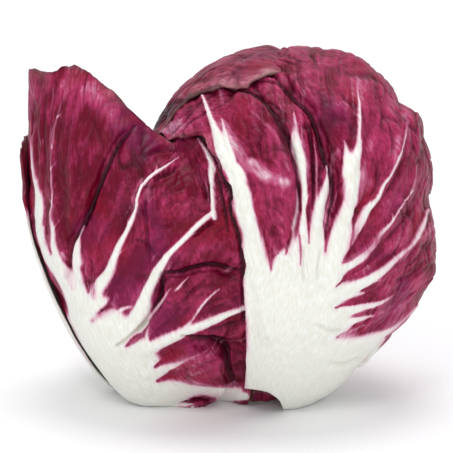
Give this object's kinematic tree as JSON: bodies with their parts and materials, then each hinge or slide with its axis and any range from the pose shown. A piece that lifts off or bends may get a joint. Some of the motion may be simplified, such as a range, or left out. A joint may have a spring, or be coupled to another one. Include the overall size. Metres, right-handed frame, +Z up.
{
  "type": "radicchio head",
  "caption": "Round head of tightly wrapped red leaves with white ribs on a short cut stem, its outermost leaves opened into a cup on one side.",
  "frame": {"origin": "centre of the stem's cut face, on the surface that the head rests on", "axes": "+Z up; +X to the right across the front, away from the opened leaves; -Y towards the front leaf with the wide white ribs"},
  "size_m": [0.15, 0.1171, 0.1299],
  "materials": {
    "leaf_outer": "waxy satin leaf, wine red between white ribs",
    "leaf_inner": "smooth moist leaf, magenta red between white ribs",
    "leaf_dark": "dull dark purple leaf, drying or torn",
    "stem": "cut cream stem, slightly browned"
  },
  "bodies": {
    "root": {"stem": "stem", "heart": "leaf_inner", "leaf_front": "leaf_outer", "leaf_crown": "leaf_dark", "leaf_back": "leaf_outer", "leaf_right": "leaf_inner", "leaf_inner": "leaf_inner", "leaf_open_front": "leaf_outer", "leaf_open_back": "leaf_outer", "leaf_stub": "leaf_dark"}
  },
  "joints": []
}
